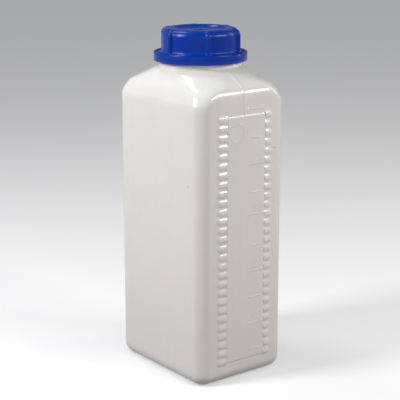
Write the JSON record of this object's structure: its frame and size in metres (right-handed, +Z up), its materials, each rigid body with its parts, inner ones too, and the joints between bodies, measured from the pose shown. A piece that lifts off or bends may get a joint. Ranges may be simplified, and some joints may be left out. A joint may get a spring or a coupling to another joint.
{
  "type": "square bottle",
  "caption": "Rectangular one-litre plastic bottle with sloping shoulder, ribbed graduated panel, ribbed screw cap and tamper ring.",
  "frame": {"origin": "centre of the base, on the surface that the bottle stands on", "axes": "+Z up along the neck's axis, +X out of the ribbed face with the graduations, -Y out of the smooth face that the picture shows"},
  "size_m": [0.0908, 0.0698, 0.224],
  "materials": {
    "bottle": "natural translucent moulded plastic, soft gloss",
    "cap": "glossy blue moulded plastic",
    "tamper_ring": "glossy blue moulded plastic",
    "seal_liner": "white foam sheet"
  },
  "bodies": {
    "container": {"bottle": "bottle", "tamper_ring": "tamper_ring"},
    "liner": {"seal_liner": "seal_liner"},
    "closure": {"cap": "cap"}
  },
  "joints": [
    {"name": "cap_rise", "type": "slide", "parent": "container", "child": "liner", "axis": [0, 0, 1], "range_m": [0, 0.016]},
    {"name": "cap_turn", "type": "hinge", "parent": "liner", "child": "closure", "pos_m": [0, 0, 0.21], "axis": [0, 0, 1], "range_deg": [0, 1440]}
  ],
  "couplings": [
    {"joint": "cap_rise", "follows": "cap_turn", "m_per_rad": 0.0006366}
  ]
}
